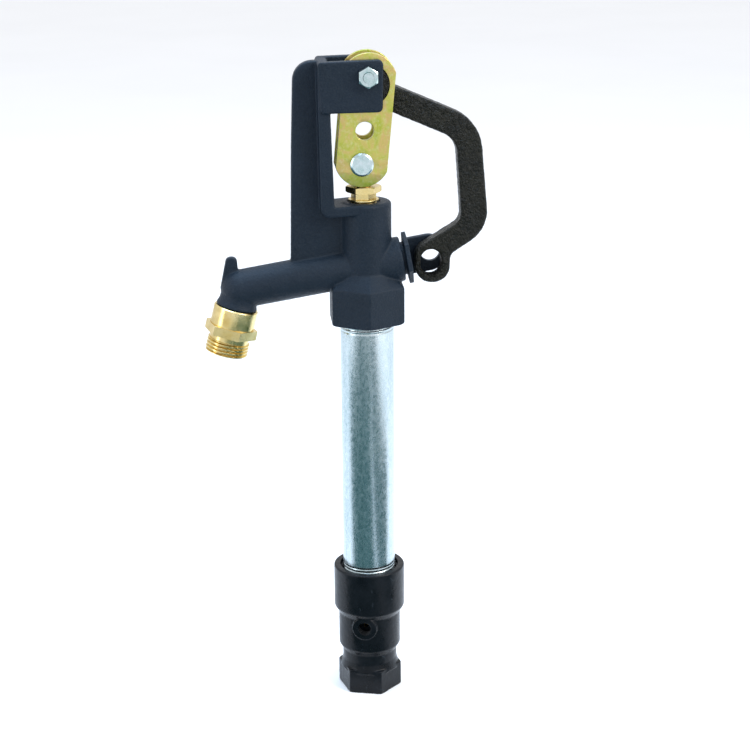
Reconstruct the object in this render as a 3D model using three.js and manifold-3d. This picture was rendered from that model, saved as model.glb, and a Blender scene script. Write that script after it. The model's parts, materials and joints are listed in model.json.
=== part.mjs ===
// Frost-proof yard hydrant: a cast head with a hose outlet, a short galvanised standpipe and a
// foot valve. Lifting the handle turns an eccentric hub, which pulls two links, the rod and the
// plunger up off the valve seat. Millimetres, +Z up, the outlet towards -X, the front towards -Y.
// Origin: centre of the supply inlet, at the lower end of the valve body.

import * as THREE from 'three';
import { mergeVertices } from 'three/addons/utils/BufferGeometryUtils.js';
import Module from 'manifold-3d';

const wasm = await Module();
wasm.setup();

// ---------------------------------------------------------------- driving dimensions

const GAP = 0.3;
const ROUND = 24;
const SMALL_ROUND = 16;

// standpipe: 1 inch steel pipe
const PIPE_R = 16.7;
const PIPE_BORE_R = 13.3;
const PIPE_BOTTOM = 62;
const PIPE_TOP = 267;

// valve body
const BODY_TOP = 85.9;
const COLLAR_R = 22.8;
const BARREL_R = 20;
const NECK_R = 17.6;
const INLET_HEX_R = 20.9;
const INLET_HEX_TOP = 16.3;
const INLET_HEX_TURN = -14.2;
const INLET_BORE_R = 12.2;
const CHAMBER_R = 11.25;
const CHAMBER_BOTTOM = 19;
const SEAT_LEDGE_R = 9.6;
const SEAT_LEDGE_BOTTOM = 14.5;
const DRAIN_Z = 48;
const DRAIN_BOSS_R = 8;
const DRAIN_BOSS_FACE = 21.2;
const DRAIN_TAP_R = 4.7;

// head casting
const HEAD_HEX_BOTTOM = 249.5;
const HEAD_HEX_R = 25.75;
const HEAD_SHOULDER = 272.6;
const HEAD_CONE_TOP = 281.6;
const BARREL_TOP = 325.1;
const HEAD_BARREL_R = 15.5;
const STEM_X = -1.4;
const STEM_R = 4.7;
const STEM_BORE_R = 5.1;
const PACKING_BORE_R = 8.4;
const PACKING_FLOOR = 303;

// side axis of the outlet and of the plug, in the XZ plane
const SIDE_AXIS_Z = 284.6;
const SIDE_TILT = THREE.MathUtils.degToRad(9.3);
const SPOUT_R = 12.1;
const SPOUT_BORE_R = 8.6;
const SPOUT_REACH = -78.6;
const PLUG_BOSS_R = 13.9;
const PLUG_BOSS_FACE = 22.3;
const PLUG_BORE_R = 10.2;

// outlet nipple and hose adapter
const OUTLET_TILT = THREE.MathUtils.degToRad(14.5);
const OUTLET_LENGTH = 11.6;
const NIPPLE_R = 10.5;
const NIPPLE_LENGTH = 8.5;
const ADAPTER_R = 13.75;
const ADAPTER_HEX_R = 16.5;
const ADAPTER_HEX_START = 12;
const ADAPTER_HEX_END = 17.6;
const HOSE_THREAD_R = 13.2;
const ADAPTER_LENGTH = 30;

// yoke: column, shelf and ears
const YOKE_HALF_WIDTH = 14.5;
const EAR_INNER = 10.3;
const EAR_OUTER = 16.5;
const COLUMN_LEFT = -28.2;
const COLUMN_RIGHT = -20.5;
const COLUMN_TOP = 410.6;
const SHELF_BOTTOM = 317.3;
const SHELF_RISE = 1.3;
const EAR_LEFT = -29.3;
const EAR_RIGHT = 9.8;
const EAR_BOTTOM = 381.2;
const EAR_TOP = 410.8;
const EAR_RISE = 1;
const WEB_HALF = 4;

// eccentric handle
const PIVOT = { x: 0.4, z: 402.2 };
const ECCENTRIC = { x: 1.5, z: 396.3 };
const ECCENTRIC_R = 12.1;
const HUB_CHEEK_R = 14.5;
const BOLT_R = 3.15;
const HANDLE_HALF = 6;

// links
const LINK_PIN = { x: -3, z: 348.9 };
const LINK_WIDTH = 31.2;
const LINK_INNER = 6.35;
const LINK_OUTER = 9.5;
const LINK_END_R = 16.8;
const LINK_TOP_REACH = 18.8;
const LINK_BOTTOM_REACH = 13.7;
const LINK_HOLE_R = 12.4;
const SPARE_HOLE_R = 5.55;
const SPARE_HOLE_UP = 20.2;
const PIN_R = 4.7;

// ---------------------------------------------------------------- materials

function finish(color, roughness, metalness) {
  return new THREE.MeshStandardMaterial({ color, roughness, metalness });
}

const coatedIron = finish(0x243648, 0.55, 0.2);
const bareIron = finish(0x2a2b27, 0.5, 0.4);
const blackIron = finish(0x14191e, 0.45, 0.3);
const brass = finish(0xc0a45a, 0.3, 0.9);
const galvanised = finish(0x9cb4bb, 0.35, 0.9);
const yellowZinc = finish(0xcdbf74, 0.35, 0.85);
const zinc = finish(0xd3d8da, 0.25, 0.95);
const rubber = finish(0x1b1b1b, 0.8, 0);
const graphite = finish(0x34363a, 0.7, 0.3);

// ---------------------------------------------------------------- solids

function toSolid(geometry) {
  const bare = geometry.index ? geometry.toNonIndexed() : geometry.clone();
  bare.deleteAttribute('normal');
  bare.deleteAttribute('uv');
  const merged = mergeVertices(bare, 1e-4);
  const corners = merged.index.array;
  const kept = [];
  for (let i = 0; i < corners.length; i += 3) {
    const [a, b, c] = [corners[i], corners[i + 1], corners[i + 2]];
    if (a !== b && b !== c && c !== a) {
      kept.push(a, b, c);
    }
  }
  const mesh = new wasm.Mesh({
    numProp: 3,
    vertProperties: Float32Array.from(merged.attributes.position.array),
    triVerts: Uint32Array.from(kept),
  });
  return new wasm.Manifold(mesh);
}

function toGeometry(solid) {
  const mesh = solid.getMesh();
  const geometry = new THREE.BufferGeometry();
  geometry.setAttribute('position', new THREE.BufferAttribute(mesh.vertProperties, 3));
  geometry.setIndex(new THREE.BufferAttribute(mesh.triVerts, 1));
  geometry.computeVertexNormals();
  return geometry;
}

function join(pieces) {
  return pieces.map(toSolid).reduce((whole, piece) => whole.add(piece));
}

function shape({ add, cut = [], keep = [] }) {
  const joined = join(add);
  const kept = keep.map(toSolid).reduce((whole, piece) => whole.intersect(piece), joined);
  const carved = cut.map(toSolid).reduce((whole, piece) => whole.subtract(piece), kept);
  return toGeometry(carved);
}

// A turned solid about Z; the profile is a list of [radius, z] from bottom to top.
function turned(profile, segments = ROUND) {
  const points = profile.map(([radius, z]) => new THREE.Vector2(radius, z));
  return new THREE.LatheGeometry(points, segments).rotateX(Math.PI / 2);
}

// A ring about Z with a rectangular section.
function ring(innerR, outerR, bottom, top, segments = ROUND) {
  return turned([
    [innerR, bottom],
    [outerR, bottom],
    [outerR, top],
    [innerR, top],
    [innerR, bottom],
  ], segments);
}

// A straight cylinder or cone about Z.
function post(radius, bottom, top, segments = ROUND, topRadius = radius) {
  const geometry = new THREE.CylinderGeometry(topRadius, radius, top - bottom, segments);
  return geometry.rotateX(Math.PI / 2).translate(0, 0, (top + bottom) / 2);
}

// A hexagonal prism about Z with one corner towards -Y, then turned by the given degrees.
function hexagon(cornerR, bottom, top, turn = 0) {
  return post(cornerR, bottom, top, 6).rotateZ(THREE.MathUtils.degToRad(turn));
}

// A cylinder along Y through the point (x, z).
function crossPost(radius, x, z, front, back, segments = ROUND) {
  return post(radius, -back, -front, segments).rotateX(Math.PI / 2).translate(x, 0, z);
}

// A flat outline in the XZ plane, thickened along Y.
function plate(outline, front, back, chamfer = 0, curveSegments = 6) {
  const geometry = new THREE.ExtrudeGeometry(outline, {
    depth: back - front - 2 * chamfer,
    curveSegments,
    bevelEnabled: chamfer > 0,
    bevelSegments: 1,
    bevelSize: chamfer,
    bevelThickness: chamfer,
    bevelOffset: -chamfer,
  });
  return geometry.rotateX(Math.PI / 2).translate(0, back - chamfer, 0);
}

// A closed outline from corners given as [x, y, radius].
function roundedOutline(corners) {
  const outline = new THREE.Shape();
  corners.forEach(([x, y, radius], i) => {
    const before = corners.at(i - 1);
    const after = corners[(i + 1) % corners.length];
    const corner = new THREE.Vector2(x, y);
    const back = new THREE.Vector2(before[0] - x, before[1] - y).normalize();
    const ahead = new THREE.Vector2(after[0] - x, after[1] - y).normalize();
    const halfAngle = Math.acos(back.dot(ahead)) / 2;
    const reach = radius / Math.tan(halfAngle);
    const start = corner.clone().addScaledVector(back, reach);
    const end = corner.clone().addScaledVector(ahead, reach);
    if (i === 0) {
      outline.moveTo(start.x, start.y);
    } else {
      outline.lineTo(start.x, start.y);
    }
    if (radius > 0) {
      const middle = back.clone().add(ahead).normalize();
      const centre = corner.clone().addScaledVector(middle, radius / Math.sin(halfAngle));
      const from = Math.atan2(start.y - centre.y, start.x - centre.x);
      const to = Math.atan2(end.y - centre.y, end.x - centre.x);
      outline.absarc(centre.x, centre.y, radius, from, to, back.cross(ahead) > 0);
    }
  });
  outline.closePath();
  return outline;
}

function circleOutline(x, y, radius) {
  const outline = new THREE.Path();
  outline.absarc(x, y, radius, 0, 2 * Math.PI, false);
  return outline;
}

// Turns geometry built along +Z so that it runs from a point in the XZ plane at an angle
// measured from +Z towards +X.
function aimed(geometry, x, z, angle) {
  return geometry.rotateY(angle).translate(x, 0, z);
}

// ---------------------------------------------------------------- head casting

const SIDE_ANGLE = Math.PI / 2 - SIDE_TILT;
const OUTLET_ANGLE = Math.PI + OUTLET_TILT;
const ELBOW = {
  x: SPOUT_REACH * Math.cos(SIDE_TILT),
  z: SIDE_AXIS_Z + SPOUT_REACH * Math.sin(SIDE_TILT),
};
const OUTLET = {
  x: ELBOW.x - OUTLET_LENGTH * Math.sin(OUTLET_TILT),
  z: ELBOW.z - OUTLET_LENGTH * Math.cos(OUTLET_TILT),
};

// Geometry along the side axis: +Z of the geometry points to the plug, -Z to the spout.
function onSideAxis(geometry) {
  return aimed(geometry, 0, SIDE_AXIS_Z, SIDE_ANGLE);
}

// Geometry along the outlet: +Z of the geometry points out of the outlet.
function onOutlet(geometry) {
  return aimed(geometry, OUTLET.x, OUTLET.z, OUTLET_ANGLE);
}

function headHex() {
  const envelope = turned([
    [0, HEAD_HEX_BOTTOM],
    [HEAD_HEX_R - 1.6, HEAD_HEX_BOTTOM],
    [HEAD_HEX_R + 0.2, HEAD_HEX_BOTTOM + 1.6],
    [HEAD_HEX_R + 0.2, HEAD_SHOULDER],
    [HEAD_BARREL_R, HEAD_CONE_TOP],
    [0, HEAD_CONE_TOP],
  ]);
  const prism = hexagon(HEAD_HEX_R, HEAD_HEX_BOTTOM - 1, HEAD_CONE_TOP + 1);
  return shape({ add: [prism], keep: [envelope] });
}

function headBarrel() {
  return turned([
    [0, HEAD_CONE_TOP - 4],
    [HEAD_BARREL_R, HEAD_CONE_TOP - 4],
    [HEAD_BARREL_R, BARREL_TOP - 1.8],
    [HEAD_BARREL_R - 1.8, BARREL_TOP],
    [0, BARREL_TOP],
  ]);
}

const WEB_TOP = 410.3;

function webOutline() {
  return roundedOutline([
    [-46.8, 280, 0],
    [-45, 357, 400],
    [-43, WEB_TOP, 12],
    [-25, WEB_TOP, 0],
    [-25, 322, 0],
    [-8, 322, 0],
    [-8, 278, 0],
  ]);
}

function yokeOutline() {
  return roundedOutline([
    [EAR_LEFT, COLUMN_TOP, 2],
    [COLUMN_LEFT, SHELF_BOTTOM, 6],
    [-4, SHELF_BOTTOM + SHELF_RISE, 0],
    [-4, BARREL_TOP, 0],
    [COLUMN_RIGHT + 0.6, BARREL_TOP - SHELF_RISE, 2],
    [COLUMN_RIGHT - 2, COLUMN_TOP, 0],
  ]);
}

function earOutline() {
  return roundedOutline([
    [EAR_LEFT, EAR_TOP, 2.5],
    [EAR_LEFT + 2, EAR_BOTTOM, 3],
    [EAR_RIGHT - 0.5, EAR_BOTTOM + 0.4, 3],
    [EAR_RIGHT, EAR_TOP + EAR_RISE, 3.2],
  ]);
}

const HOOK_TOP = 292.2;
const HOOK_HALF = 2.7;

function hookOutline() {
  return roundedOutline([
    [-85.9, HOOK_TOP, 3.1],
    [-90, 273, 0],
    [-78, 270, 0],
    [-79.3, HOOK_TOP, 3.1],
  ]);
}

const SHANK_GAP = 0.25;

function buildHeadCasting() {
  return shape({
    add: [
      headHex(),
      headBarrel(),
      plate(webOutline(), -WEB_HALF, WEB_HALF, 1.2, 4),
      plate(yokeOutline(), -YOKE_HALF_WIDTH, YOKE_HALF_WIDTH, 0.8, 4),
      plate(earOutline(), -EAR_OUTER, -EAR_INNER, 0.9, 4),
      plate(earOutline(), EAR_INNER, EAR_OUTER, 0.9, 4),
      onSideAxis(post(SPOUT_R, SPOUT_REACH, 0)),
      onSideAxis(post(PLUG_BOSS_R, 0, PLUG_BOSS_FACE)),
      new THREE.SphereGeometry(SPOUT_R + 0.15, ROUND, 10).translate(ELBOW.x, 0, ELBOW.z),
      onOutlet(turned([
        [0, -OUTLET_LENGTH],
        [11.2, -OUTLET_LENGTH],
        [11.6, -4],
        [12.9, -GAP],
        [NIPPLE_R, -GAP],
        [NIPPLE_R, NIPPLE_LENGTH],
        [0, NIPPLE_LENGTH],
      ])),
      plate(hookOutline(), -HOOK_HALF, HOOK_HALF, 0.9, 5),
    ],
    cut: [
      post(PIPE_R + GAP, HEAD_HEX_BOTTOM - 1, PIPE_TOP + GAP),
      post(PIPE_BORE_R, PIPE_TOP - 1, 292),
      post(PIPE_BORE_R, 292 - 0.01, 299, ROUND, STEM_BORE_R),
      post(STEM_BORE_R, 280, PACKING_FLOOR + 1, SMALL_ROUND).translate(STEM_X, 0, 0),
      post(PACKING_BORE_R, PACKING_FLOOR, BARREL_TOP + 1, SMALL_ROUND).translate(STEM_X, 0, 0),
      onSideAxis(post(SPOUT_BORE_R, SPOUT_REACH, -4)),
      onSideAxis(post(PLUG_BORE_R + SHANK_GAP, 6, PLUG_BOSS_FACE + 1)),
      new THREE.SphereGeometry(SPOUT_BORE_R, ROUND, 8).translate(ELBOW.x, 0, ELBOW.z),
      onOutlet(post(SPOUT_BORE_R - 0.6, -OUTLET_LENGTH, NIPPLE_LENGTH + 1)),
      crossPost(BOLT_R + GAP, PIVOT.x, PIVOT.z, -30, 30, SMALL_ROUND),
    ],
  });
}

// ---------------------------------------------------------------- hose adapter

function buildHoseAdapter() {
  const turnedBlank = turned([
    [0, 0],
    [ADAPTER_R - 0.5, 0],
    [ADAPTER_R, 0.6],
    [ADAPTER_R, ADAPTER_HEX_START + 1],
    [12.2, ADAPTER_HEX_END - 1],
    [12.2, 20.6],
    [HOSE_THREAD_R, 21.6],
    [HOSE_THREAD_R, ADAPTER_LENGTH - 1],
    [HOSE_THREAD_R - 1, ADAPTER_LENGTH],
    [0, ADAPTER_LENGTH],
  ]);
  const socket = turned([
    [0, -1],
    [12.9, -1],
    [12.7, 0],
    [NIPPLE_R + GAP, 1.8],
    [NIPPLE_R + GAP, NIPPLE_LENGTH + 1],
    [0, NIPPLE_LENGTH + 1],
  ]);
  return shape({
    add: [turnedBlank, hexagon(ADAPTER_HEX_R, ADAPTER_HEX_START, ADAPTER_HEX_END, -18)],
    cut: [socket, post(9, NIPPLE_LENGTH, ADAPTER_LENGTH + 1)],
  });
}

// ---------------------------------------------------------------- lock plug

const FLANGE_START = 24.2;
const FLANGE_END = 27.1;
const FLANGE_HEX_R = 16.15;
const LUG_FRONT = 6.7;
const LUG_BACK = 11.7;
const SHACKLE_R = 6;
const SHACKLE_REACH = 40.6;
const SHACKLE_DROP = 0.7;

// Built with the plug axis along +Z and turned onto the side axis as one mesh. The outline of
// the lug lies in the XZ plane: its x runs down across the plug, its y out along the plug.
function buildLockPlug() {
  const lug = roundedOutline([
    [-10.1, FLANGE_START + 0.5, 0],
    [-10.1, 49, 9],
    [13, 49, 9],
    [13, FLANGE_START + 0.5, 0],
  ]);
  return shape({
    add: [
      post(PLUG_BORE_R, 9, FLANGE_START + 0.5),
      hexagon(FLANGE_HEX_R, FLANGE_START, FLANGE_END, 78),
      plate(lug, LUG_FRONT, LUG_BACK, 0.8),
    ],
    cut: [
      crossPost(SHACKLE_R, SHACKLE_DROP, SHACKLE_REACH, LUG_FRONT - 5, LUG_BACK + 5, SMALL_ROUND),
      post(6.5, 8, 19, SMALL_ROUND),
    ],
  });
}

// ---------------------------------------------------------------- handle

// Straight edges of the C-shaped arm meet at these corners, each with its own round.
function handleOutline() {
  return roundedOutline([
    [-7, 388.8, 0],
    [54.3, 362.2, 14],
    [57.7, 312.2, 8.5],
    [29.5, 294.9, 10],
    [29.5, 273.4, 10.4],
    [50.9, 273.4, 10.4],
    [51.6, 291, 5],
    [75.2, 306.2, 22],
    [69.1, 372.8, 27],
    [-4, 404.4, 0],
  ]);
}

function padlockEye() {
  const eye = new THREE.Path();
  const half = 1.8;
  const radius = 6.3;
  eye.absarc(39.4, 286.2 + half, radius, 0, Math.PI, false);
  eye.absarc(39.4, 286.2 - half, radius, Math.PI, 2 * Math.PI, false);
  eye.closePath();
  return eye;
}

function buildHandle() {
  const arm = handleOutline();
  arm.holes.push(padlockEye());
  const { x, z } = ECCENTRIC;
  return shape({
    add: [
      plate(arm, -HANDLE_HALF, HANDLE_HALF, 1.2, 5),
      crossPost(HUB_CHEEK_R, x, z, -HANDLE_HALF, HANDLE_HALF),
      crossPost(ECCENTRIC_R, x, z, -LINK_OUTER, LINK_OUTER),
    ],
    cut: [crossPost(BOLT_R + 0.1, PIVOT.x, PIVOT.z, -30, 30, SMALL_ROUND)],
  });
}

// ---------------------------------------------------------------- links and their pin

const LINK_LEAN = Math.atan2(ECCENTRIC.x - LINK_PIN.x, ECCENTRIC.z - LINK_PIN.z);
const LINK_CENTRES = Math.hypot(ECCENTRIC.x - LINK_PIN.x, ECCENTRIC.z - LINK_PIN.z);

// Outline about the link pin, with the link upright along +y.
function linkOutline() {
  const half = LINK_WIDTH / 2;
  const spread = Math.asin(half / LINK_END_R);
  const topCentre = LINK_CENTRES + LINK_TOP_REACH - LINK_END_R;
  const bottomCentre = LINK_END_R - LINK_BOTTOM_REACH;
  const outline = new THREE.Shape();
  outline.absarc(0, topCentre, LINK_END_R, Math.PI / 2 - spread, Math.PI / 2 + spread, false);
  outline.absarc(0, bottomCentre, LINK_END_R, -Math.PI / 2 - spread, -Math.PI / 2 + spread, false);
  outline.closePath();
  outline.holes.push(circleOutline(0, LINK_CENTRES, LINK_HOLE_R));
  outline.holes.push(circleOutline(0, SPARE_HOLE_UP, SPARE_HOLE_R));
  outline.holes.push(circleOutline(0, 0, PIN_R + 0.15));
  return outline;
}

function buildLink() {
  return shape({ add: [plate(linkOutline(), 0, LINK_OUTER - LINK_INNER, 0, 10)] });
}

const PIN_HEAD_R = 7.1;
const PIN_HEAD_BACK = -LINK_OUTER - 0.15;
const PIN_END = 14.8;
const COTTER_Y = 12.6;
const COTTER_R = 1.3;

// Built along +Y about the pin's own centre.
function buildLinkPin() {
  const turnedPin = turned([
    [0, PIN_HEAD_BACK - 2.1],
    [PIN_HEAD_R - 1.5, PIN_HEAD_BACK - 2.1],
    [PIN_HEAD_R, PIN_HEAD_BACK - 1],
    [PIN_HEAD_R, PIN_HEAD_BACK],
    [PIN_R, PIN_HEAD_BACK],
    [PIN_R, PIN_END - 0.8],
    [PIN_R - 0.8, PIN_END],
    [0, PIN_END],
  ], 24);
  const hole = post(COTTER_R + 0.25, -10, 10, 12).translate(0, COTTER_Y, 0);
  return shape({ add: [turnedPin.rotateX(-Math.PI / 2)], cut: [hole] });
}

// A hairpin cotter: an eye above the pin and two legs through it, bent apart below.
function buildCotter() {
  const eye = new THREE.TorusGeometry(2.4, 0.9, 8, 16).rotateX(Math.PI / 2).translate(0, 0, 8.4);
  const leg = post(COTTER_R, -8.5, 6.6, 12);
  return shape({ add: [eye, leg] });
}

// ---------------------------------------------------------------- fasteners

function buildHexNut(acrossFlats, height, boreR) {
  const cornerR = acrossFlats / Math.sqrt(3);
  const envelope = turned([
    [0, 0],
    [cornerR - 0.9, 0],
    [cornerR + 0.1, 0.6],
    [cornerR + 0.1, height - 0.6],
    [cornerR - 0.9, height],
    [0, height],
  ], 24);
  return shape({
    add: [hexagon(cornerR, 0, height)],
    keep: [envelope],
    cut: [post(boreR, -1, height + 1, SMALL_ROUND)],
  });
}

const BOLT_HEAD_HEIGHT = 4.3;
const NUT_HEIGHT = 5.6;
const NUT_ACROSS = 11.1;
const BOLT_END = EAR_OUTER + NUT_HEIGHT + 1.2;

// Built along -Z from the underside of its head; the head stands on +Z.
function buildPivotBolt() {
  const cornerR = NUT_ACROSS / Math.sqrt(3);
  return shape({
    add: [
      hexagon(cornerR, 0, BOLT_HEAD_HEIGHT),
      turned([
        [0, -EAR_OUTER - BOLT_END],
        [BOLT_R - 0.8, -EAR_OUTER - BOLT_END],
        [BOLT_R, -EAR_OUTER - BOLT_END + 0.8],
        [BOLT_R, 1],
        [0, 1],
      ], SMALL_ROUND),
    ],
  });
}

// ---------------------------------------------------------------- packing

const PACKING_FLANGE_R = 9.25;
const PACKING_FLANGE_TOP = 326.5;
const PACKING_NECK_R = 8.1;
const PACKING_HEX_BOTTOM = 330.9;
const PACKING_HEX_TOP = 334.4;

function buildPackingNut() {
  return shape({
    add: [
      hexagon(19.05 / Math.sqrt(3), PACKING_HEX_BOTTOM, PACKING_HEX_TOP, 30),
      post(PACKING_NECK_R, BARREL_TOP + GAP, PACKING_HEX_BOTTOM + 1, 24),
      post(PACKING_FLANGE_R, BARREL_TOP + GAP, PACKING_FLANGE_TOP, 24),
      post(PACKING_BORE_R - GAP, 317, BARREL_TOP + 1, 24),
    ],
    cut: [post(STEM_R + GAP, 310, 340, SMALL_ROUND)],
  });
}

// ---------------------------------------------------------------- stem, rod and plunger

const STEM_BOTTOM = 219;
const EYE_BOTTOM = 338.4;
const EYE_TOP = 359;
const EYE_HALF = 5.9;
const EYE_LEFT = -9.8;
const EYE_RIGHT = 12.2;

// The eye is slotted sideways, because the pin swings on the hub while the stem runs straight.
function buildStem() {
  const pinX = LINK_PIN.x - STEM_X;
  const eye = roundedOutline([
    [EYE_LEFT, EYE_BOTTOM, 4],
    [EYE_RIGHT, EYE_BOTTOM, 4],
    [EYE_RIGHT, EYE_TOP, 6],
    [EYE_LEFT, EYE_TOP, 6],
  ]);
  const slot = roundedOutline([
    [pinX - PIN_R - 0.7, LINK_PIN.z - PIN_R - 1.4, 5],
    [pinX + PIN_R + 5.4, LINK_PIN.z - PIN_R - 1.4, 5],
    [pinX + PIN_R + 5.4, LINK_PIN.z + PIN_R + 0.8, 5],
    [pinX - PIN_R - 0.7, LINK_PIN.z + PIN_R + 0.8, 5],
  ]);
  return shape({
    add: [
      post(STEM_R, STEM_BOTTOM, EYE_BOTTOM + 2, SMALL_ROUND),
      plate(eye, -EYE_HALF, EYE_HALF, 0.8, 4),
    ],
    cut: [plate(slot, -20, 20, 0, 4)],
  });
}

const COUPLING_BOTTOM = 206;
const COUPLING_TOP = 230;
const ROD_R = 4.7;
const ROD_TOP = 217;
const ROD_BOTTOM = 51.5;

const PLUNGER_R = 10.6;
const PLUNGER_BOTTOM = 25.9;
const PLUNGER_SHOULDER = 44;
const PLUNGER_NECK_R = 7.6;
const PLUNGER_TOP = 58;
const O_RING_R = 1.5;
const LOWER_O_RING_Z = 34;
const UPPER_O_RING_Z = 41;
const LOWER_PORT_Z = 29;
const UPPER_PORT_Z = 47.5;

// Hollow, so that water enters the lower ports, rises inside and leaves by the upper ports.
function buildPlunger() {
  const groove = O_RING_R + 0.15;
  const grooveFloor = CHAMBER_R - 0.15 - 2 * O_RING_R - GAP;
  const body = turned([
    [0, PLUNGER_BOTTOM],
    [PLUNGER_R, PLUNGER_BOTTOM],
    [PLUNGER_R, LOWER_O_RING_Z - groove],
    [grooveFloor, LOWER_O_RING_Z - groove],
    [grooveFloor, LOWER_O_RING_Z + groove],
    [PLUNGER_R, LOWER_O_RING_Z + groove],
    [PLUNGER_R, UPPER_O_RING_Z - groove],
    [grooveFloor, UPPER_O_RING_Z - groove],
    [grooveFloor, UPPER_O_RING_Z + groove],
    [PLUNGER_R, UPPER_O_RING_Z + groove],
    [PLUNGER_R, PLUNGER_SHOULDER],
    [PLUNGER_NECK_R, PLUNGER_SHOULDER + 1],
    [PLUNGER_NECK_R, PLUNGER_TOP],
    [0, PLUNGER_TOP],
  ]);
  const port = (z, turn) => post(2, -12, 12, 12).rotateX(Math.PI / 2).rotateZ(turn).translate(0, 0, z);
  return shape({
    add: [body],
    cut: [
      post(SEAL_SCREW_R + GAP, PLUNGER_BOTTOM - 1, LOWER_PORT_Z, 16),
      post(4, LOWER_PORT_Z - 2, UPPER_PORT_Z + 1, SMALL_ROUND),
      post(ROD_R + GAP, UPPER_PORT_Z, PLUNGER_TOP + 1, SMALL_ROUND),
      port(LOWER_PORT_Z, 0.4),
      port(LOWER_PORT_Z, 0.4 + Math.PI / 2),
      port(UPPER_PORT_Z, 0),
      port(UPPER_PORT_Z, Math.PI / 2),
    ],
  });
}

const SEAL_SCREW_R = 2.2;
const SEAL_TOP = PLUNGER_BOTTOM - GAP;
const SEAL_BOTTOM = 21.8;

function buildPlungerSeal() {
  return shape({ add: [ring(SEAL_SCREW_R + GAP, 9.4, SEAL_BOTTOM, SEAL_TOP, 24)] });
}

function buildSealScrew() {
  return shape({
    add: [
      post(4.4, SEAL_BOTTOM - 3.2, SEAL_BOTTOM - GAP, SMALL_ROUND),
      post(SEAL_SCREW_R, SEAL_BOTTOM - 1, LOWER_PORT_Z - 2.3, 16),
    ],
  });
}

function buildORing(centreR) {
  return shape({ add: [new THREE.TorusGeometry(centreR, O_RING_R, 8, 24)] });
}

function buildValveSeat() {
  return shape({
    add: [turned([
      [6.2, SEAT_LEDGE_BOTTOM],
      [SEAT_LEDGE_R - GAP, SEAT_LEDGE_BOTTOM],
      [SEAT_LEDGE_R - GAP, CHAMBER_BOTTOM + GAP],
      [CHAMBER_R - GAP, CHAMBER_BOTTOM + GAP],
      [CHAMBER_R - GAP, 20.6],
      [7.6, 21.5],
      [6.2, 21.5],
      [6.2, SEAT_LEDGE_BOTTOM],
    ], 24)],
  });
}

// ---------------------------------------------------------------- valve body

function buildValveBody() {
  const outside = turned([
    [0, INLET_HEX_TOP - 2],
    [NECK_R + 1.6, INLET_HEX_TOP - 2],
    [NECK_R, 20],
    [NECK_R, 26.8],
    [BARREL_R, 30.6],
    [BARREL_R, 53.2],
    [COLLAR_R, 57.6],
    [COLLAR_R, BODY_TOP - 0.8],
    [COLLAR_R - 0.8, BODY_TOP],
    [0, BODY_TOP],
  ]);
  const hexEnvelope = turned([
    [0, 0],
    [INLET_HEX_R - 1, 0],
    [INLET_HEX_R + 0.1, 0.8],
    [INLET_HEX_R + 0.1, INLET_HEX_TOP - 0.8],
    [INLET_HEX_R - 1, INLET_HEX_TOP],
    [0, INLET_HEX_TOP],
  ]);
  const hex = shape({
    add: [hexagon(INLET_HEX_R, 0, INLET_HEX_TOP, INLET_HEX_TURN + 30)],
    keep: [hexEnvelope],
  });
  const towardsDrain = (geometry) => geometry
    .rotateX(Math.PI / 2)
    .rotateZ(THREE.MathUtils.degToRad(INLET_HEX_TURN))
    .translate(0, 0, DRAIN_Z);
  return shape({
    add: [outside, hex, towardsDrain(post(DRAIN_BOSS_R, 12, DRAIN_BOSS_FACE, 24))],
    cut: [
      post(INLET_BORE_R, -1, SEAT_LEDGE_BOTTOM),
      post(SEAT_LEDGE_R, SEAT_LEDGE_BOTTOM - 1, CHAMBER_BOTTOM + 1),
      post(CHAMBER_R, CHAMBER_BOTTOM, PIPE_BOTTOM + 1),
      post(PIPE_R + GAP, PIPE_BOTTOM - GAP, BODY_TOP + 1),
      post(18.4, 82, BODY_TOP + 1),
      towardsDrain(post(DRAIN_TAP_R, 14.5, DRAIN_BOSS_FACE + 1, SMALL_ROUND)),
      towardsDrain(post(2, 9, 15, 12)),
    ],
  });
}

// ---------------------------------------------------------------- assembly

const hydrant = new THREE.Group();

function place(parent, name, geometry, material, x = 0, y = 0, z = 0) {
  const mesh = new THREE.Mesh(geometry, material);
  mesh.name = name;
  mesh.position.set(x, y, z);
  parent.add(mesh);
  return mesh;
}

// foot valve and standpipe
place(hydrant, 'valve_body', buildValveBody(), blackIron);
place(hydrant, 'valve_seat', buildValveSeat(), brass);
place(hydrant, 'standpipe', shape({
  add: [ring(PIPE_BORE_R, PIPE_R, PIPE_BOTTOM, PIPE_TOP)],
}), galvanised);

// head
place(hydrant, 'head_casting', buildHeadCasting(), coatedIron);

const outletGroup = new THREE.Group();
outletGroup.position.set(OUTLET.x, 0, OUTLET.z);
outletGroup.rotation.y = OUTLET_ANGLE;
hydrant.add(outletGroup);
place(outletGroup, 'hose_adapter', buildHoseAdapter(), brass);

const plugGroup = new THREE.Group();
plugGroup.position.set(0, 0, SIDE_AXIS_Z);
plugGroup.rotation.y = SIDE_ANGLE;
hydrant.add(plugGroup);
place(plugGroup, 'lock_plug', buildLockPlug(), coatedIron);

// packing box
const stemGroup = new THREE.Group();
stemGroup.position.x = STEM_X;
hydrant.add(stemGroup);
place(stemGroup, 'packing_nut', buildPackingNut(), brass);
place(stemGroup, 'packing_washer', shape({
  add: [ring(STEM_R + GAP, PACKING_BORE_R - GAP, 315.1, 316.7, 24)],
}), brass);
place(stemGroup, 'packing_ring', shape({
  add: [ring(STEM_R + GAP, PACKING_BORE_R - GAP, PACKING_FLOOR + GAP, 314.8, 24)],
}), graphite);

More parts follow.
